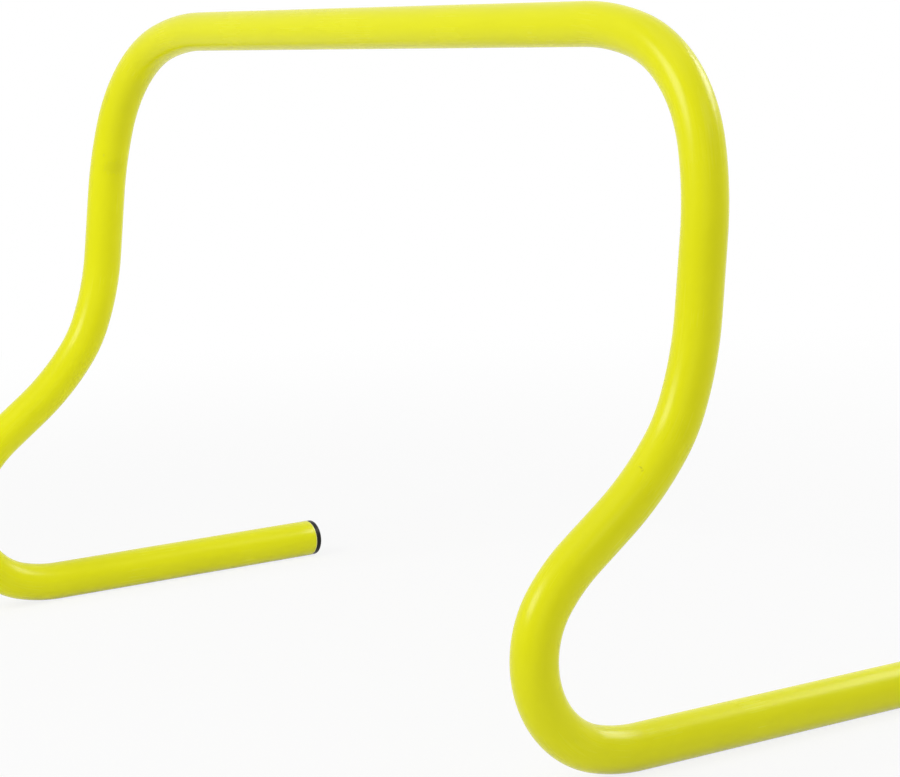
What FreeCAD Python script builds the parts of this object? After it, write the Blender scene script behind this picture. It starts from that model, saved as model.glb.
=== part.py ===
import FreeCAD, Part
import math
import os
import Sketcher

# A low training hurdle: one plastic tube, hot-bent into a top bar, two legs and two feet,
# with a moulded plug pressed into each open end.
# The origin is on the floor, midway between the legs and midway between front and back.
# The legs stand at -X and +X, and the feet run back to +Y. Millimetres and degrees.
SIZES = {
    "tube_diameter": 19,
    "tube_wall": 1.6,
    "end_break": 0.3,
    "leg_spacing": 475,
    "foot_length": 156,
    "shin_length": 20,
    "upright_length": 30,
    "shin_angle": 55,
    "lean_angle": 7.5,
    "lead_angle": 16,
    "heel_radius": 39,
    "heel_lead_radius": 78,
    "knee_radius": 67,
    "knee_lead_radius": 134,
    "shoulder_radius": 64,
    "shoulder_lead_radius": 128,
    "head_inset": 0.1,
    "head_thickness": 3,
    "rim_radius": 0.8,
    "shank_gap": 1.7,
    "shank_wall": 1.3,
    "shank_tip": 1.3,
    "fin_clearance": 0.05,
    "fin_count": 3,
    "fin_pitch": 4,
    "fin_width": 2.2,
    "fin_edge": 0.6,
    "first_fin": 2.5,
}
SQUARE = 90
NEAR = 1e-6

# how a sketch counts: the points of a line or arc, then its axes, which meet at the root
START, END, CENTRE = range(1, 4)
H_AXIS, V_AXIS = range(-1, -3, -1)
ROOT = (H_AXIS, START)

document = FreeCAD.newDocument("speed_hurdle")
sheet = document.addObject("Spreadsheet::Sheet", "sizes")
for row, (alias, number) in enumerate(SIZES.items(), start=1):
    sheet.set(f"A{row}", alias)
    sheet.set(f"B{row}", str(number))
    sheet.setAlias(f"B{row}", alias)
document.recompute()


def origin_feature(body, role):
    return next(feature for feature in body.Origin.OriginFeatures if feature.Role == role)


def plane_sketch(body, name, role):
    sketch = body.newObject("Sketcher::SketchObject", name)
    sketch.AttachmentSupport = [(origin_feature(body, role), "")]
    sketch.MapMode = "FlatFace"
    return sketch


def bind(sketch, name, expression, kind, *references):
    """A dimension that follows an expression."""
    index = sketch.addConstraint(Sketcher.Constraint(kind, *references))
    sketch.renameConstraint(index, name)
    sketch.setExpression(f"Constraints.{name}", expression)


def measure(sketch, name, kind, *references):
    """A dimension that is only read, by the expressions of other pieces."""
    index = sketch.addConstraint(Sketcher.Constraint(kind, *references))
    sketch.setDriving(index, False)
    sketch.renameConstraint(index, name)


def rim_edge(shape, axis, place, radius):
    """The name of the round edge of a given radius whose centre lies at a place along an axis."""
    for number, edge in enumerate(shape.Edges, start=1):
        curve = edge.Curve
        if (isinstance(curve, Part.Circle) and abs(curve.Radius - radius) < NEAR
                and abs(getattr(curve.Center, axis) - place) < NEAR):
            return f"Edge{number}"
    raise ValueError(f"no round edge of radius {radius} at {axis} = {place}")


class CentreLine:
    """The middle line of a bent tube: straight runs and bends, each tangent to the one before."""

    def __init__(self, sketch, start, heading):
        self.sketch = sketch
        self.point = FreeCAD.Vector(*start)
        self.heading = math.radians(heading)
        self.tail = None

    def direction(self, quarter_turns=0):
        angle = self.heading + quarter_turns * math.pi / 2
        return FreeCAD.Vector(math.cos(angle), math.sin(angle))

    def join(self, geometry, first, last):
        index = self.sketch.addGeometry(geometry)
        if self.tail:
            self.sketch.addConstraint(Sketcher.Constraint("Tangent", *self.tail, index, first))
        self.tail = (index, last)
        return index

    def straight(self, length):
        end = self.point + self.direction() * length
        index = self.join(Part.LineSegment(self.point, end), START, END)
        self.point = end
        return index

    def arc(self, radius, turn):
        side = math.copysign(1, turn)
        centre = self.point + self.direction(side) * radius
        begin = self.heading - side * math.pi / 2
        finish = begin + math.radians(turn)
        circle = Part.Circle(centre, FreeCAD.Vector(0, 0, 1), radius)
        curve = Part.ArcOfCircle(circle, min(begin, finish), max(begin, finish))
        index = self.join(curve, *((START, END) if turn > 0 else (END, START)))
        self.heading += math.radians(turn)
        self.point = centre - self.direction(side) * radius
        return index

    def bend(self, name, turn, expression):
        """A bend that eases in and out on a larger radius, as hot tube does. Returns its middle arc."""
        lead = math.copysign(SIZES["lead_angle"], turn)
        stages = {
            "entry": (f"{name}_lead_radius", lead, "sizes.lead_angle"),
            "middle": (f"{name}_radius", turn - 2 * lead, f"{expression} - 2 * sizes.lead_angle"),
            "exit": (f"{name}_lead_radius", lead, "sizes.lead_angle"),
        }
        arcs = {}
        for stage, (radius, angle, angle_expression) in stages.items():
            index = self.arc(SIZES[radius], angle)
            bind(self.sketch, f"{name}_{stage}_radius", f"sizes.{radius}", "Radius", index, SIZES[radius])
            bind(self.sketch, f"{name}_{stage}_turn", angle_expression,
                 "Angle", index, math.radians(abs(angle)))
            arcs[stage] = index
        return arcs["middle"]


def leg_path(body):
    """Foot, heel bend, shin, knee bend and upright, in the upright plane of the +X leg."""
    sketch = plane_sketch(body, "leg_path", "YZ_Plane")
    sketch.setExpression("AttachmentOffset.Base.z", "sizes.leg_spacing / 2")
    tube_radius = SIZES["tube_diameter"] / 2
    half_depth = SIZES["foot_length"] / 2
    line = CentreLine(sketch, (half_depth, tube_radius), 2 * SQUARE)
    foot = line.straight(SIZES["foot_length"])
    heel = line.bend("heel", -SQUARE - SIZES["shin_angle"], f"{SQUARE} + sizes.shin_angle")
    shin = line.straight(SIZES["shin_length"])
    line.bend("knee", SIZES["shin_angle"] - SIZES["lean_angle"], "sizes.shin_angle - sizes.lean_angle")
    upright = line.straight(SIZES["upright_length"])
    sketch.addConstraint(Sketcher.Constraint("Horizontal", foot))
    for name, index in (("foot_length", foot), ("shin_length", shin), ("upright_length", upright)):
        bind(sketch, name, f"sizes.{name}", "Distance", index, SIZES[name])
    bind(sketch, "foot_height", "sizes.tube_diameter / 2", "DistanceY", *ROOT, foot, START, tube_radius)

    # floor marks under the front of the heel and the back of the plug, equally far from the origin
    front, back = (
        sketch.addGeometry(Part.Point(FreeCAD.Vector(place, 0)), True)
        for place in (-half_depth, half_depth)
    )
    bind(sketch, "heel_reach", "sizes.heel_radius + sizes.tube_diameter / 2",
         "DistanceX", front, START, heel, CENTRE, SIZES["heel_radius"] + tube_radius)
    bind(sketch, "plug_reach", "sizes.head_thickness",
         "DistanceX", foot, START, back, START, SIZES["head_thickness"])
    sketch.addConstraint(Sketcher.Constraint("PointOnObject", front, START, H_AXIS))
    sketch.addConstraint(Sketcher.Constraint("Symmetric", front, START, back, START, *ROOT))

    measure(sketch, "end_y", "DistanceX", *ROOT, foot, START, half_depth)
    measure(sketch, "top_y", "DistanceX", *ROOT, upright, END, half_depth)
    measure(sketch, "top_z", "DistanceY", *ROOT, upright, END, half_depth)
    return sketch


def arch_path(body):
    """Half of the top bar and its shoulder bend, in a plane that leans back with the uprights."""
    sketch = plane_sketch(body, "arch_path", "XZ_Plane")
    upright_turn = FreeCAD.Rotation(FreeCAD.Vector(1, 0, 0), -SIZES["lean_angle"])
    sketch.AttachmentOffset = FreeCAD.Placement(FreeCAD.Vector(), upright_turn)
    sketch.setExpression("AttachmentOffset.Base.y", "leg_path.Constraints.top_z")
    sketch.setExpression("AttachmentOffset.Base.z", "-leg_path.Constraints.top_y")
    sketch.setExpression("AttachmentOffset.Rotation.Angle", "-sizes.lean_angle")
    lead = math.radians(SIZES["lead_angle"])
    bar_rise = (SIZES["shoulder_lead_radius"] * (1 + math.sin(lead) - math.cos(lead))
                + SIZES["shoulder_radius"] * (math.cos(lead) - math.sin(lead)))
    half_spacing = SIZES["leg_spacing"] / 2
    line = CentreLine(sketch, (0, bar_rise), 0)
    bar = line.straight(half_spacing - bar_rise)
    line.bend("shoulder", -SQUARE, f"{SQUARE}")
    sketch.addConstraint(Sketcher.Constraint("Horizontal", bar))
    sketch.addConstraint(Sketcher.Constraint("PointOnObject", bar, START, V_AXIS))
    sketch.addConstraint(Sketcher.Constraint("PointOnObject", *line.tail, H_AXIS))
    bind(sketch, "half_spacing", "sizes.leg_spacing / 2", "DistanceX", *ROOT, *line.tail, half_spacing)
    measure(sketch, "bar_rise", "DistanceY", *ROOT, bar, START, bar_rise)
    return sketch


def ring_section(body, name, role, across, up):
    """The tube's wall in section, with its centre at two expressions."""
    sketch = plane_sketch(body, name, role)
    outer_radius = SIZES["tube_diameter"] / 2
    bore_radius = outer_radius - SIZES["tube_wall"]
    outer, bore = (
        sketch.addGeometry(Part.Circle(FreeCAD.Vector(), FreeCAD.Vector(0, 0, 1), radius))
        for radius in (outer_radius, bore_radius)
    )
    sketch.addConstraint(Sketcher.Constraint("Coincident", outer, CENTRE, bore, CENTRE))
    bind(sketch, "outer_radius", "sizes.tube_diameter / 2", "Radius", outer, outer_radius)
    bind(sketch, "bore_radius", "sizes.tube_diameter / 2 - sizes.tube_wall", "Radius", bore, bore_radius)
    bind(sketch, "centre_across", across, "DistanceX", *ROOT, outer, CENTRE, outer_radius)
    bind(sketch, "centre_up", up, "DistanceY", *ROOT, outer, CENTRE, outer_radius)
    return sketch


def pipe(body, name, section, path):
    feature = body.newObject("PartDesign::AdditivePipe", name)
    feature.Profile = section
    feature.Spine = path
    document.recompute()
    return feature


def hurdle_tube():
    body = document.addObject("PartDesign::Body", "hurdle_tube")
    leg_line = leg_path(body)
    arch_line = arch_path(body)
    foot_section = ring_section(body, "foot_section", "XZ_Plane",
                                "sizes.leg_spacing / 2", "sizes.tube_diameter / 2")
    foot_section.setExpression("AttachmentOffset.Base.z", "-leg_path.Constraints.end_y")
    bar_section = ring_section(
        body, "bar_section", "YZ_Plane",
        "leg_path.Constraints.top_y + arch_path.Constraints.bar_rise * sin(sizes.lean_angle * 1 deg)",
        "leg_path.Constraints.top_z + arch_path.Constraints.bar_rise * cos(sizes.lean_angle * 1 deg)")
    document.recompute()
    pipe(body, "leg", foot_section, leg_line)
    half = pipe(body, "half_arch", bar_section, arch_line)

    # the saw cut at the end of the foot has its outer edge broken
    foot_end = leg_line.getDatum("end_y").Value
    broken_edge = body.newObject("PartDesign::Chamfer", "broken_edge")
    broken_edge.Base = (half, [rim_edge(half.Shape, "y", foot_end, SIZES["tube_diameter"] / 2)])
    broken_edge.setExpression("Size", "sizes.end_break")
    document.recompute()

    both_halves = body.newObject("PartDesign::Mirrored", "both_halves")
    both_halves.TransformMode = "Whole shape"
    both_halves.MirrorPlane = (origin_feature(body, "YZ_Plane"), [""])
    body.Tip = both_halves
    return body


def closed_outline(sketch, corners):
    """Straight lines round the given corners, level or upright where they are. Returns the corners."""
    lines = []
    for first, last in zip(corners, corners[1:] + corners[:1]):
        line = sketch.addGeometry(Part.LineSegment(FreeCAD.Vector(*first), FreeCAD.Vector(*last)))
        if first[0] == last[0]:
            sketch.addConstraint(Sketcher.Constraint("Vertical", line))
        elif first[1] == last[1]:
            sketch.addConstraint(Sketcher.Constraint("Horizontal", line))
        lines.append(line)
    for line, following in zip(lines, lines[1:] + lines[:1]):
        sketch.addConstraint(Sketcher.Constraint("Coincident", line, END, following, START))
    return [(line, START) for line in lines]


def turned(body, name, sketch):
    feature = body.newObject("PartDesign::Revolution", name)
    feature.Profile = sketch
    feature.ReferenceAxis = (sketch, ["H_Axis"])
    document.recompute()
    return feature


def end_plug(label, side):
    """A head that covers the tube's end, on a hollow shank with fins that grip the bore.

    The plug's own X axis runs along the tube and out of its end, and X = 0 is the face on the tube.
    """
    body = document.addObject("PartDesign::Body", label)
    head_radius = SIZES["tube_diameter"] / 2 - SIZES["head_inset"]
    bore_radius = SIZES["tube_diameter"] / 2 - SIZES["tube_wall"]
    shank_radius = bore_radius - SIZES["shank_gap"]
    hollow_radius = shank_radius - SIZES["shank_wall"]
    fin_root_radius = shank_radius - SIZES["shank_wall"] / 2
    fin_radius = bore_radius - SIZES["fin_clearance"]
    head_thickness = SIZES["head_thickness"]
    fin_spread = (SIZES["fin_count"] - 1) * SIZES["fin_pitch"]
    shank_length = SIZES["first_fin"] + fin_spread + SIZES["fin_width"] + SIZES["shank_tip"]
    bore = "sizes.tube_diameter / 2 - sizes.tube_wall"
    shank = f"{bore} - sizes.shank_gap"
    spread = "(sizes.fin_count - 1) * sizes.fin_pitch"

    profile = plane_sketch(body, f"{label}_profile", "XY_Plane")
    middle, hollow_floor, hollow_mouth, tip, neck, seat, rim, _ = closed_outline(profile, [
        (0, 0), (0, hollow_radius), (-shank_length, hollow_radius), (-shank_length, shank_radius),
        (0, shank_radius), (0, head_radius), (head_thickness, head_radius), (head_thickness, 0),
    ])
    profile.addConstraint(Sketcher.Constraint("Coincident", *middle, *ROOT))
    profile.addConstraint(Sketcher.Constraint("PointOnObject", *neck, V_AXIS))
    bind(profile, "hollow_radius", f"{shank} - sizes.shank_wall",
         "DistanceY", *ROOT, *hollow_floor, hollow_radius)
    bind(profile, "shank_radius", shank, "DistanceY", *ROOT, *tip, shank_radius)
    bind(profile, "shank_length", f"sizes.first_fin + {spread} + sizes.fin_width + sizes.shank_tip",
         "DistanceX", *hollow_mouth, *ROOT, shank_length)
    bind(profile, "head_radius", "sizes.tube_diameter / 2 - sizes.head_inset",
         "DistanceY", *ROOT, *seat, head_radius)
    bind(profile, "head_thickness", "sizes.head_thickness", "DistanceX", *ROOT, *rim, head_thickness)
    blank = turned(body, f"{label}_blank", profile)

    round_rim = body.newObject("PartDesign::Fillet", f"{label}_rim")
    round_rim.Base = (blank, [rim_edge(blank.Shape, "x", head_thickness, head_radius)])
    round_rim.setExpression("Radius", "sizes.rim_radius")
    document.recompute()

    # each fin is square towards the head and slopes towards the tip, so that the plug goes in and stays in
    fin_profile = plane_sketch(body, f"{label}_fin_profile", "XY_Plane")
    fin_start = -SIZES["first_fin"]
    root, crest, slope_top, slope_foot = closed_outline(fin_profile, [
        (fin_start, fin_root_radius), (fin_start, fin_radius),
        (fin_start - SIZES["fin_edge"], fin_radius), (fin_start - SIZES["fin_width"], fin_root_radius),
    ])
    bind(fin_profile, "first_fin", "sizes.first_fin", "DistanceX", *root, *ROOT, SIZES["first_fin"])
    bind(fin_profile, "fin_root_radius", f"{shank} - sizes.shank_wall / 2",
         "DistanceY", *ROOT, *root, fin_root_radius)
    bind(fin_profile, "fin_radius", f"{bore} - sizes.fin_clearance", "DistanceY", *ROOT, *crest, fin_radius)
    bind(fin_profile, "fin_edge", "sizes.fin_edge", "DistanceX", *slope_top, *crest, SIZES["fin_edge"])
    bind(fin_profile, "fin_width", "sizes.fin_width", "DistanceX", *slope_foot, *root, SIZES["fin_width"])
    fin = turned(body, f"{label}_fin", fin_profile)
    fins = body.newObject("PartDesign::LinearPattern", f"{label}_fins")
    fins.Originals = [fin]
    fins.Direction = (origin_feature(body, "X_Axis"), [""])
    fins.Reversed = True
    fins.setExpression("Length", spread)
    fins.setExpression("Occurrences", "sizes.fin_count")
    body.Tip = fins

    body.Placement = FreeCAD.Placement(FreeCAD.Vector(), FreeCAD.Rotation(FreeCAD.Vector(0, 0, 1), SQUARE))
    body.setExpression("Placement.Base.x", f"{side} * sizes.leg_spacing / 2")
    body.setExpression("Placement.Base.y", "leg_path.Constraints.end_y")
    body.setExpression("Placement.Base.z", "sizes.tube_diameter / 2")
    return body


pieces = [hurdle_tube(), end_plug("left_end_plug", -1), end_plug("right_end_plug", 1)]
document.recompute()
for item in document.Objects:
    if "Invalid" in item.State or "Error" in item.State:
        raise RuntimeError(f"{item.Label} did not build: {item.State}")
for piece in pieces:
    if piece.Shape.isNull() or not piece.Shape.isValid():
        raise RuntimeError(f"{piece.Label} has no valid shape")

os.makedirs("parts", exist_ok=True)
for piece in pieces:
    piece.Shape.exportStep(f"parts/{piece.Label}.step")
    print(piece.Label, f"volume {piece.Shape.Volume:.0f} mm3")
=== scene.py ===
import math

import bmesh
import bpy
from mathutils import Matrix, Vector


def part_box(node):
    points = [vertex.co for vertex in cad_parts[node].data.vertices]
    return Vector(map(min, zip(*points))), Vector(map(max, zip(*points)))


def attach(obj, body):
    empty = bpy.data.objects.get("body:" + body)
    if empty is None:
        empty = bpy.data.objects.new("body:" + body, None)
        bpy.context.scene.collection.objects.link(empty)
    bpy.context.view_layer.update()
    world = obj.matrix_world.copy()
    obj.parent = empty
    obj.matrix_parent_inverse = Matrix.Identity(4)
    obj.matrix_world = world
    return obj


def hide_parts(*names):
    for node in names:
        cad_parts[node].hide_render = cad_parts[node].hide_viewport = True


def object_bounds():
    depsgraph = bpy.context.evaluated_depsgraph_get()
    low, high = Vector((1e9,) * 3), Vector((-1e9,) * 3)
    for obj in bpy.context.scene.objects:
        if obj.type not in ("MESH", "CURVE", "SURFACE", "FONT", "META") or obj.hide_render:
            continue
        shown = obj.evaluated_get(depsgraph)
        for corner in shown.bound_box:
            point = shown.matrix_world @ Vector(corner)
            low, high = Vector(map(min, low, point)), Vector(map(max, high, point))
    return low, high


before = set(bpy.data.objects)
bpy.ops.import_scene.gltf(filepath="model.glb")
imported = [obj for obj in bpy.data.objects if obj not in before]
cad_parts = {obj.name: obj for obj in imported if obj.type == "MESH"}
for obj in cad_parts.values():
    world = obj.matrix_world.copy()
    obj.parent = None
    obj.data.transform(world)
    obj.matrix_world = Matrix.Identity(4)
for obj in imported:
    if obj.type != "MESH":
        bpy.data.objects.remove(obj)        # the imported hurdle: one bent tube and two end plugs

mm = 0.001
near = 0.01 * mm         # places closer than this are the same
rightAngle = 90          # degrees
right = Vector((1, 0, 0))
back = Vector((0, 1, 0))
up = Vector((0, 0, 1))
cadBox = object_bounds()
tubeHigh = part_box("hurdle_tube")[1]
print("frame loaded:", ", ".join(sorted(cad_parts)))


# shader sheets: sockets that can be reckoned with, and one way to place a node

class Socket:
    def __init__(self, sheet, out):
        self.sheet = sheet
        self.out = out

    def reckon(self, operation, other=0.0):
        return self.sheet.add("ShaderNodeMath", {"operation": operation}, {0: self, 1: other})

    def sibling(self, name):      # another output of the same node
        return Socket(self.sheet, self.out.node.outputs[name])

    def __add__(self, other):
        return self.reckon("ADD", other)

    def __radd__(self, other):
        return self.reckon("ADD", other)

    def __sub__(self, other):
        return self.reckon("SUBTRACT", other)

    def __rsub__(self, other):
        return self.reckon("MULTIPLY", -1.0).reckon("ADD", other)

    def __mul__(self, other):
        return self.reckon("MULTIPLY", other)

    def __rmul__(self, other):
        return self.reckon("MULTIPLY", other)


class ShaderSheet:
    def __init__(self, nodeTree):
        self.tree = nodeTree
        self.tree.nodes.clear()

    def add(self, kind, settings, sockets, out=0):
        node = self.tree.nodes.new(kind)
        for name, setting in settings.items():
            setattr(node, name, setting)
        for name, given in sockets.items():
            if isinstance(given, Socket):
                self.tree.links.new(given.out, node.inputs[name])
            else:
                node.inputs[name].default_value = given
        if node.outputs:
            return Socket(self, node.outputs[out])

    def noise(self, vector, scale, detail=2.0):
        return self.add("ShaderNodeTexNoise", {}, {"Vector": vector, "Scale": scale, "Detail": detail}, "Fac")

    def fade(self, value, start, end, first, last, curve="SMOOTHSTEP"):
        return self.add("ShaderNodeMapRange", {"interpolation_type": curve},
                        {"Value": value, "From Min": start, "From Max": end, "To Min": first, "To Max": last},
                        "Result")

    def blend(self, factor, first, second):      # by number: the Mix node's colour sockets share their names
        return self.add("ShaderNodeMix", {"data_type": "RGBA"}, {0: factor, 6: first, 7: second}, 2)

    def bump(self, height, depth, under=None, sunk=False):
        sockets = {"Strength": 1.0, "Distance": depth, "Height": height}
        if under:
            sockets["Normal"] = under
        return self.add("ShaderNodeBump", {"invert": sunk}, sockets, "Normal")

    def plastic(self, colour, rough, ior, skin):
        surface = self.add("ShaderNodeBsdfPrincipled", {},
                           {"Base Color": colour, "Roughness": rough, "IOR": ior, "Normal": skin}, "BSDF")
        self.add("ShaderNodeOutputMaterial", {}, {"Surface": surface})


noiseMiddle = 0.5        # a noise swings about this


def swing(noise, reach):
    return (noise - noiseMiddle) * reach


def newMaterial(name):
    material = bpy.data.materials.new(name)
    material.use_nodes = True
    return material, ShaderSheet(material.node_tree)


# what every piece is started, shaped and finished with

def deselectAll():
    bpy.ops.object.select_all(action="DESELECT")


def selectWhere(piece, kind, wanted):
    bpy.ops.mesh.select_mode(type=kind)
    bpy.ops.mesh.select_all(action="DESELECT")
    mesh = bmesh.from_edit_mesh(piece.data)
    for element in (mesh.faces if kind == "FACE" else mesh.edges):
        element.select_set(wanted(element))
    bmesh.update_edit_mesh(piece.data)


def finishPiece(piece, name, material, node, smoothAngle):
    piece.name = name
    piece.data.name = name
    piece.data.materials.append(material)
    bpy.ops.object.shade_smooth_by_angle(angle=math.radians(smoothAngle))
    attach(piece, "root")
    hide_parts(node)


# yellow tube finish

yellowTube = {
    "colour": (0.80, 0.795, 0.001, 1.0),
    "paleColour": (0.825, 0.82, 0.003, 1.0),    # where the colour is a little thin
    "dullColour": (0.34, 0.31, 0.004, 1.0),     # dirt in nicks, specks and smudges
    "endHighlightColour": (0.86, 0.86, 0.34, 1.0),       # painted highlight: a pale ring for light caught on the broken edge of the sawn ends
    "cutWidth": 0.5 * mm,
    # how far the painted end highlight pales the colour
    "endHighlightStrength": 0.8,
    "ior": 1.30,
    "roughness": 0.26,
    "mottleRoughness": 0.12,        # what each of these adds to the roughness
    "lineRoughness": 0.05,
    "dirtRoughness": 0.3,
    "cutRoughness": 0.2,
    "mottle": 22,                   # cloudy patches, per metre
    "mottleEdges": (0.35, 0.65),    # noise that is still full colour, and noise that is all pale
    "drawLines": (6, 900, 900),     # lines left by drawing, per metre along and across the tube
    "lineDepth": 0.0012 * mm,
    "peel": 600,                    # fine unevenness of the skin, per metre
    "peelDepth": 0.0015 * mm,
    "speckCells": 60,               # per metre, with room for one speck in each
    "speckShare": 0.2,              # of the cells have one
    "speckRadius": 0.018,           # in cells
    "speckCore": 0.6,               # share of the radius that is evenly dark
    "speckStrength": 0.4,
    "markEdges": (0.45, 1.25),      # a mark fades between these shares of its half size
    "markWaver": 900,               # unevenness of that edge, per metre
    "markWaverReach": 1.1,
    "markDepth": 4,                 # reach of a mark in and out of the skin, in half widths
    "nickDepth": 0.08 * mm,
}

tubeMarks = {      # along from the middle of the bar, degrees round, half length, half width, slant, strength
    "kneeNick": (390.4 * mm, -63, 0.4 * mm, 1.2 * mm, 25, 0.42),
    "kneeNickTail": (391.4 * mm, -54, 0.8 * mm, 0.4 * mm, 25, 0.30),
    "uprightSmudge": (-274 * mm, -168, 4.5 * mm, 6.0 * mm, 10, 0.10),
    "uprightSpeck": (-268 * mm, -130, 0.9 * mm, 0.7 * mm, 0, 0.14),
    "leftShoulderRub": (-238 * mm, -95, 3.0 * mm, 1.2 * mm, 25, 0.10),
}


def makeMark(sheet, straight, waver, name):
    look = yellowTube
    along, angle, halfLength, halfWidth, slant, strength = tubeMarks[name]
    turn = math.radians(angle)
    spot = (along, tubeRadius * math.cos(turn), tubeRadius * math.sin(turn))
    # the mark's own axes: x along the tube, y outwards, z across
    local = sheet.add("ShaderNodeMapping", {"vector_type": "TEXTURE"},
                      {"Vector": straight, "Location": spot, "Rotation": (turn, math.radians(slant), 0),
                       "Scale": (halfLength, look["markDepth"] * halfWidth, halfWidth)})
    away = sheet.add("ShaderNodeVectorMath", {"operation": "LENGTH"}, {0: local}, "Value")
    return sheet.fade(away + waver, *look["markEdges"], strength, 0.0)


def makeSpecks(sheet, straight):
    look = yellowTube
    away = sheet.add("ShaderNodeTexVoronoi", {},
                     {"Vector": straight, "Scale": look["speckCells"]}, "Distance")
    dot = sheet.fade(away, look["speckRadius"] * look["speckCore"], look["speckRadius"], 1.0, 0.0, "LINEAR")
    chance = sheet.add("ShaderNodeSeparateColor", {}, {"Color": away.sibling("Color")}, "Red")
    return dot * chance.reckon("GREATER_THAN", 1 - look["speckShare"]) * look["speckStrength"]


def makeYellowTube(halfLength):
    material, sheet = newMaterial("yellowTube")
    look = yellowTube
    straight = sheet.add("ShaderNodeAttribute", {"attribute_name": "straightPlace"}, {}, "Vector")
    drawn = sheet.add("ShaderNodeMapping", {}, {"Vector": straight, "Scale": look["drawLines"]})
    lines = sheet.noise(drawn, 1.0)
    mottle = sheet.noise(straight, look["mottle"], detail=3.0)
    peel = sheet.noise(straight, look["peel"])

    # marks of use, with uneven edges
    waver = swing(sheet.noise(straight, look["markWaver"]), look["markWaverReach"])
    marks = {name: makeMark(sheet, straight, waver, name) for name in tubeMarks}
    nick = marks["kneeNick"] + marks["kneeNickTail"]
    smudge = marks["uprightSmudge"] + marks["uprightSpeck"] + marks["leftShoulderRub"]
    dirt = sheet.add("ShaderNodeClamp", {}, {"Value": nick + smudge + makeSpecks(sheet, straight)}, "Result")

    # painted highlight: a pale ring where the tube was sawn off, for light caught on the broken edge there;
    # the ring is also rougher
    along = sheet.add("ShaderNodeSeparateXYZ", {}, {"Vector": straight}, "X").reckon("ABSOLUTE")
    cut = along.reckon("GREATER_THAN", halfLength - look["cutWidth"])

    thin = sheet.fade(mottle, *look["mottleEdges"], 0.0, 1.0, "LINEAR")
    plainColour = sheet.blend(thin, look["colour"], look["paleColour"])
    # the sawn ends get the painted highlight colour
    highlightedColour = sheet.blend(cut * look["endHighlightStrength"], plainColour, look["endHighlightColour"])
    colour = sheet.blend(dirt, highlightedColour, look["dullColour"])
    clouded = look["roughness"] + swing(mottle, look["mottleRoughness"])
    rough = (clouded + swing(lines, look["lineRoughness"])
             + dirt * look["dirtRoughness"] + cut * look["cutRoughness"])
    lined = sheet.bump(lines, look["lineDepth"])
    peeled = sheet.bump(peel, look["peelDepth"], lined)
    nicked = sheet.bump(nick, look["nickDepth"], peeled, sunk=True)
    sheet.plastic(colour, rough, look["ior"], nicked)
    return material


# black plug finish

blackPlug = {
    "colour": (0.003, 0.003, 0.003, 1.0),
    "paleColour": (0.008, 0.007, 0.006, 1.0),
    "ior": 1.30,
    "roughness": 0.36,
    "cloudRoughness": 0.2,
    "cloud": 150,            # paler patches, per metre
    "grain": 1500,           # grain of the mould, per metre
    "grainDepth": 0.02 * mm,
}


def makeBlackPlug():
    material, sheet = newMaterial("blackPlug")
    look = blackPlug
    place = sheet.add("ShaderNodeTexCoord", {}, {}, "Object")
    grain = sheet.noise(place, look["grain"], detail=3.0)
    cloud = sheet.noise(place, look["cloud"])
    colour = sheet.blend(cloud, look["colour"], look["paleColour"])
    rough = look["roughness"] + swing(cloud, look["cloudRoughness"])
    sheet.plastic(colour, rough, look["ior"], sheet.bump(grain, look["grainDepth"]))
    return material


# the tube: a ring at the end of the right foot, walked along the bent line to the middle of the bar

bentTube = {
    "diameter": 19 * mm,
    "wall": 1.6 * mm,
    "endBreak": 0.3 * mm,    # outer edge of the sawn ends
    "endBreakSegments": 3,
    "sides": 96,
    "runStep": 10 * mm,      # between rings on straight runs
    "turnStep": 2,           # degrees between rings in a bend
    "foot": 156 * mm,
    "shin": 20 * mm,
    "upright": 30 * mm,
    "shinAngle": 55,         # from upright
    "leanAngle": 7.5,
    "leadAngle": 16,         # each bend eases in and out over this turn
    "leadRatio": 2,          # on a radius so much larger
    "heelRadius": 39 * mm,
    "kneeRadius": 67 * mm,
    "shoulderRadius": 64 * mm,
    "smoothAngle": 40,
}

tubeRadius = bentTube["diameter"] / 2
footEnd = Vector((tubeHigh.x - tubeRadius, tubeHigh.y, tubeRadius))     # middle of the right foot's sawn end


class RingWalk:
    def __init__(self, tube, place, heading):
        self.mesh = tube.data
        self.place = place
        self.heading = heading
        self.along = 0.0

    def noteAlong(self):
        mesh = bmesh.from_edit_mesh(self.mesh)
        layer = mesh.verts.layers.float_vector["straightPlace"]
        for vert in mesh.verts:
            if vert.select:
                vert[layer].x = self.along

    def straight(self, length):
        steps = max(1, round(length / bentTube["runStep"]))
        step = length / steps
        for _ in range(steps):
            move = self.heading * step
            bpy.ops.mesh.extrude_region_move(TRANSFORM_OT_translate={"value": move})
            self.place = self.place + move
            self.along += step
            self.noteAlong()

    def arc(self, radius, turn, side):
        steps = max(1, round(turn / bentTube["turnStep"]))
        step = math.radians(turn) / steps
        axis = self.heading.cross(side).normalized()
        for _ in range(steps):
            inward = axis.cross(self.heading)
            centre = self.place + inward * radius
            bpy.ops.mesh.spin(steps=1, angle=-step, center=centre, axis=axis)
            swung = Matrix.Rotation(step, 3, axis)
            self.place = centre + swung @ (self.place - centre)
            self.heading = swung @ self.heading
            self.along += radius * step
            self.noteAlong()

    def bend(self, radius, turn, side):
        lead = bentTube["leadAngle"]
        easy = radius * bentTube["leadRatio"]
        axis = self.heading.cross(side).normalized()
        for partRadius, partTurn in ((easy, lead), (radius, turn - 2 * lead), (easy, lead)):
            self.arc(partRadius, partTurn, axis.cross(self.heading))


def unbentData(tube):
    return tube.data.attributes["straightPlace"].data


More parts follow.
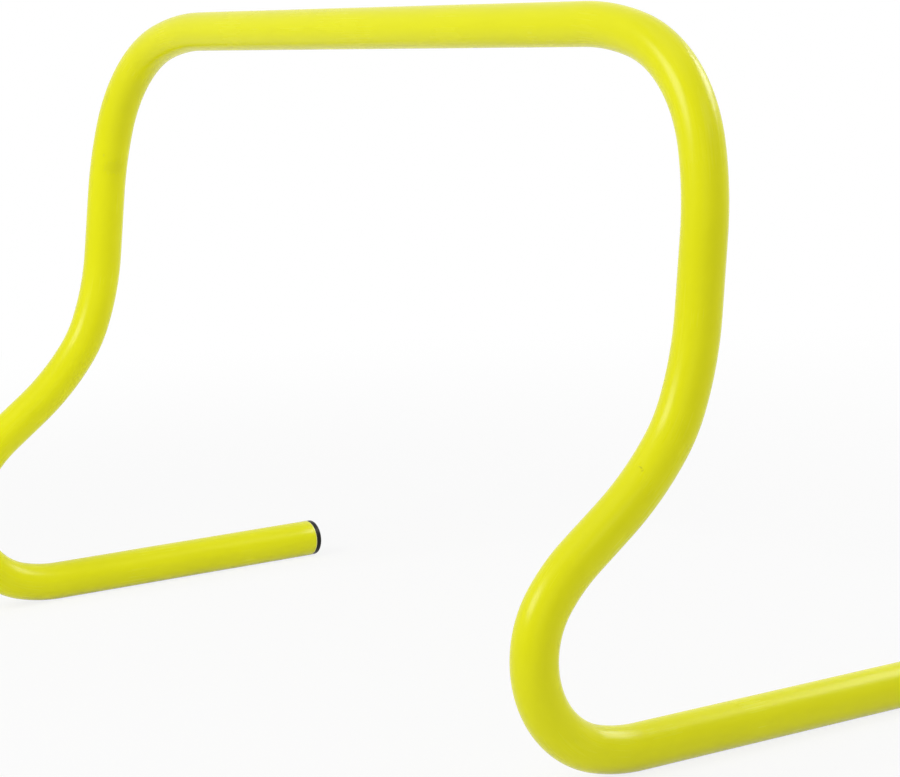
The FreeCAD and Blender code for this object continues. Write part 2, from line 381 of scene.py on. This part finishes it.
def makeFootRing():
    deselectAll()
    bpy.ops.mesh.primitive_circle_add(vertices=bentTube["sides"], radius=tubeRadius, fill_type="NOTHING",
                                      location=footEnd, rotation=(math.radians(rightAngle), 0, 0))
    bpy.ops.object.transform_apply(location=True, rotation=True, scale=True)
    tube = bpy.context.object
    tube.data.attributes.new("straightPlace", "FLOAT_VECTOR", "POINT")
    for vert, spot in zip(tube.data.vertices, unbentData(tube)):
        spot.vector = (0, vert.co.x - footEnd.x, vert.co.z - footEnd.z)
    return tube


def walkToBar(tube):
    size = bentTube
    bpy.ops.object.mode_set(mode="EDIT")
    bpy.ops.mesh.select_all(action="SELECT")
    walk = RingWalk(tube, footEnd, -back)
    walk.straight(size["foot"])
    walk.bend(size["heelRadius"], rightAngle + size["shinAngle"], up)
    walk.straight(size["shin"])
    walk.bend(size["kneeRadius"], size["shinAngle"] - size["leanAngle"], up - back)
    walk.straight(size["upright"])
    walk.bend(size["shoulderRadius"], rightAngle, -right)
    walk.straight(walk.place.x)
    bpy.ops.object.mode_set(mode="OBJECT")
    for spot in unbentData(tube):      # from here on measured from the middle of the bar
        spot.vector.x = walk.along - spot.vector.x
    print("tube: half length", round(walk.along / mm, 1), "mm, middle of the bar at",
          [round(c / mm, 2) for c in walk.place])
    return walk.along


def addOtherHalf(tube):
    other = tube.modifiers.new("otherHalf", "MIRROR")
    other.merge_threshold = near
    bpy.ops.object.modifier_apply(modifier=other.name)
    for vert, spot in zip(tube.data.vertices, unbentData(tube)):
        if vert.co.x < 0:
            spot.vector.x = -spot.vector.x
    bpy.ops.object.mode_set(mode="EDIT")
    bpy.ops.mesh.select_all(action="SELECT")
    bpy.ops.mesh.normals_make_consistent(inside=False)
    bpy.ops.object.mode_set(mode="OBJECT")


def addWall(tube):
    wall = tube.modifiers.new("wall", "SOLIDIFY")
    wall.thickness = bentTube["wall"]
    wall.offset = -1
    bpy.ops.object.modifier_apply(modifier=wall.name)


def isOnRim(vert):
    fromAxis = math.hypot(abs(vert.co.x) - footEnd.x, vert.co.z - footEnd.z)
    return abs(vert.co.y - footEnd.y) < near and abs(fromAxis - tubeRadius) < near


def breakEnds(tube):
    bpy.ops.object.mode_set(mode="EDIT")
    selectWhere(tube, "EDGE", lambda edge: all(isOnRim(vert) for vert in edge.verts))
    bpy.ops.mesh.bevel(offset=bentTube["endBreak"], segments=bentTube["endBreakSegments"], affect="EDGES")
    bpy.ops.object.mode_set(mode="OBJECT")


def makeBentTube():
    tube = makeFootRing()
    halfLength = walkToBar(tube)
    addOtherHalf(tube)
    addWall(tube)
    breakEnds(tube)
    material = makeYellowTube(halfLength)
    finishPiece(tube, "bentTube", material, "hurdle_tube", bentTube["smoothAngle"])


# end plugs: a head on a finned shank, modelled on the right foot and copied to the left

endPlug = {
    "headInset": 0.1 * mm,
    "headThickness": 3 * mm,
    "rimRadius": 0.8 * mm,
    "rimSegments": 8,
    "shankGap": 1.7 * mm,
    "shankWall": 1.3 * mm,
    "shankTip": 1.3 * mm,
    "finClearance": 0.05 * mm,
    "finCount": 3,
    "finPitch": 4 * mm,
    "finWidth": 2.2 * mm,
    "finEdge": 0.6 * mm,
    "firstFin": 2.5 * mm,
    "gateRadius": 1.3 * mm,
    "gateDepth": 0.3 * mm,
    "gateTaper": 0.9,
    "sides": 64,
    "smoothAngle": 35,
}

headRadius = tubeRadius - endPlug["headInset"]
boreRadius = tubeRadius - bentTube["wall"]
shankRadius = boreRadius - endPlug["shankGap"]
finRadius = boreRadius - endPlug["finClearance"]


def isDisc(face, y):
    return len(face.verts) == endPlug["sides"] and abs(face.calc_center_median().y - y) < near


def pushFace(distance):
    bpy.ops.mesh.extrude_region_move(TRANSFORM_OT_translate={"value": back * distance})


def scaleFace(ratio):
    bpy.ops.transform.resize(value=(ratio, 1, ratio), center_override=footEnd)


def makePlugHead():
    deselectAll()
    bpy.ops.mesh.primitive_circle_add(vertices=endPlug["sides"], radius=headRadius, fill_type="NGON",
                                      location=footEnd, rotation=(math.radians(-rightAngle), 0, 0))
    bpy.ops.object.transform_apply(location=True, rotation=True, scale=True)
    plug = bpy.context.object
    bpy.ops.object.mode_set(mode="EDIT")
    bpy.ops.mesh.select_all(action="SELECT")
    pushFace(endPlug["headThickness"])
    bpy.ops.mesh.select_all(action="SELECT")
    bpy.ops.mesh.normals_make_consistent(inside=False)
    return plug


def addShank(plug):
    size = endPlug
    finRoot = shankRadius - size["shankWall"] / 2      # fins are rooted inside the shank's wall
    slope = (size["finWidth"] - size["finEdge"]) * (finRadius - shankRadius) / (finRadius - finRoot)
    finFoot = size["finEdge"] + slope                  # where a fin's slope meets the shank
    lastRun = size["finWidth"] + size["shankTip"]
    selectWhere(plug, "FACE", lambda face: isDisc(face, footEnd.y))
    bpy.ops.mesh.inset(thickness=headRadius - shankRadius)
    pushFace(-size["firstFin"])
    for number in range(1, size["finCount"] + 1):      # square towards the head, sloping towards the tip
        bpy.ops.mesh.inset(thickness=0)
        scaleFace(finRadius / shankRadius)
        pushFace(-size["finEdge"])
        pushFace(-slope)
        scaleFace(shankRadius / finRadius)
        run = size["finPitch"] if number < size["finCount"] else lastRun
        pushFace(finFoot - run)
    shankLength = size["firstFin"] + (size["finCount"] - 1) * size["finPitch"] + lastRun
    bpy.ops.mesh.inset(thickness=size["shankWall"])
    pushFace(shankLength)                              # hollow from the tip to the head
    print("plug: shank", round(shankLength / mm, 1), "mm long,", size["finCount"], "fins")


def finishHead(plug):
    headFace = footEnd.y + endPlug["headThickness"]
    selectWhere(plug, "EDGE", lambda edge: all(abs(vert.co.y - headFace) < near for vert in edge.verts))
    bpy.ops.mesh.bevel(offset=endPlug["rimRadius"], segments=endPlug["rimSegments"], affect="EDGES")
    selectWhere(plug, "FACE", lambda face: isDisc(face, headFace))      # for the mark of the mould's gate
    bpy.ops.mesh.inset(thickness=headRadius - endPlug["rimRadius"] - endPlug["gateRadius"])
    pushFace(-endPlug["gateDepth"])
    scaleFace(endPlug["gateTaper"])
    bpy.ops.object.mode_set(mode="OBJECT")


def makeEndPlugs():
    material = makeBlackPlug()
    plug = makePlugHead()
    addShank(plug)
    finishHead(plug)
    bpy.ops.object.duplicate()
    leftPlug = bpy.context.object
    leftPlug.location.x = -2 * footEnd.x
    bpy.ops.object.transform_apply(location=True, rotation=True, scale=True)
    finishPiece(leftPlug, "leftFootPlug", material, "left_end_plug", endPlug["smoothAngle"])
    deselectAll()
    bpy.context.view_layer.objects.active = plug
    plug.select_set(True)
    finishPiece(plug, "rightFootPlug", material, "right_end_plug", endPlug["smoothAngle"])


makeBentTube()
makeEndPlugs()
print("pieces made")


# studio: pale floor, white surroundings, soft boxes, camera

studio = {
    "white": (1.0, 1.0, 1.0, 1.0),
    "floorSize": 12.0,
    "floorColour": (0.80, 0.80, 0.80, 1.0),
    "nearGlow": 0.84,         # share of plain white that the camera sees on the floor by the feet
    "nearReach": 0.35,        # metres from the middle
    "farReach": 1.3,          # plain white from here on
    "surroundLight": 0.32,    # share of white that the surroundings give as light
    "boxes": {                # degrees round from the front, degrees up, distance, width, height, power
        "leftBox": (-8, 37, 1.5, 0.72, 0.58, 10.3),
        "rearBox": (168, 33, 1.6, 0.92, 0.52, 9.3),
        "rightBox": (100, 38, 1.3, 0.6, 0.5, 1.2),
        "topBox": (30, 80, 2.2, 1.6, 1.6, 4.7),
        "frontBox": (55, 22, 4.0, 2.4, 2.0, 20.0),
        "backBox": (-125, 30, 2.0, 1.6, 1.0, 4.2),
    },
    "fillBoxes": ("frontBox", "backBox"),    # these brighten without being mirrored
}


def backgroundRays(sheet):
    camera = sheet.add("ShaderNodeLightPath", {}, {}, "Is Camera Ray")
    rays = camera + camera.sibling("Is Glossy Ray") + camera.sibling("Is Transmission Ray")
    return rays.reckon("MINIMUM", 1.0)


def makeFloor():
    deselectAll()
    bpy.ops.mesh.primitive_plane_add(size=studio["floorSize"], location=(0, 0, 0))
    floor = bpy.context.object
    floor.name = "floor"
    material, sheet = newMaterial("paleFloor")
    place = sheet.add("ShaderNodeTexCoord", {}, {}, "Object")
    away = sheet.add("ShaderNodeVectorMath", {"operation": "LENGTH"}, {0: place}, "Value")
    glow = sheet.fade(away, studio["nearReach"], studio["farReach"], studio["nearGlow"], 1.0)
    matte = sheet.add("ShaderNodeBsdfDiffuse", {}, {"Color": studio["floorColour"]})
    shine = sheet.add("ShaderNodeEmission", {}, {"Color": studio["white"], "Strength": 1.0})
    mixed = sheet.add("ShaderNodeMixShader", {}, {0: backgroundRays(sheet) * glow, 1: matte, 2: shine})
    sheet.add("ShaderNodeOutputMaterial", {}, {"Surface": mixed})
    floor.data.materials.append(material)


def makeSurround():
    world = bpy.data.worlds.new("whiteSurround")
    world.use_nodes = True
    bpy.context.scene.world = world
    sheet = ShaderSheet(world.node_tree)
    strength = studio["surroundLight"] + backgroundRays(sheet) * (1 - studio["surroundLight"])
    light = sheet.add("ShaderNodeBackground", {}, {"Color": studio["white"], "Strength": strength})
    sheet.add("ShaderNodeOutputWorld", {}, {"Surface": light})


def makeBoxes():
    middle = (cadBox[0] + cadBox[1]) / 2
    for name, (azimuth, height, distance, width, tall, power) in studio["boxes"].items():
        turn = math.radians(azimuth)
        rise = math.radians(height)
        level = right * math.sin(turn) - back * math.cos(turn)
        away = level * math.cos(rise) + up * math.sin(rise)
        lamp = bpy.data.lights.new(name, "AREA")
        lamp.shape = "RECTANGLE"
        lamp.size = width
        lamp.size_y = tall
        lamp.energy = power
        box = bpy.data.objects.new(name, lamp)
        box.visible_camera = False
        box.visible_glossy = name not in studio["fillBoxes"]
        bpy.context.scene.collection.objects.link(box)
        box.location = middle + away * distance
        box.rotation_mode = "QUATERNION"
        box.rotation_quaternion = away.to_track_quat("Z", "Y")


photoView = {
    "place": (1127.95 * mm, -772.16 * mm, 311.66 * mm),
    "yaw": 54.362,            # degrees to the left of straight back
    "pitch": 7.810,           # downwards
    "roll": 2.395,
    "focalPixels": 2985.58,
    "imageWidth": 900,
}


def makeCamera():
    view = photoView
    data = bpy.data.cameras.new("photoView")
    data.lens = view["focalPixels"] * data.sensor_width / view["imageWidth"]
    camera = bpy.data.objects.new("photoView", data)
    bpy.context.scene.collection.objects.link(camera)
    pose = Matrix.Translation(view["place"])
    for degrees, axis in ((view["yaw"], "Z"), (rightAngle - view["pitch"], "X"), (-view["roll"], "Z")):
        pose = pose @ Matrix.Rotation(math.radians(degrees), 4, axis)
    camera.matrix_world = pose
    bpy.context.scene.camera = camera


makeFloor()
makeSurround()
makeBoxes()
makeCamera()
bpy.context.scene.view_settings.view_transform = "Standard"
print("studio set")
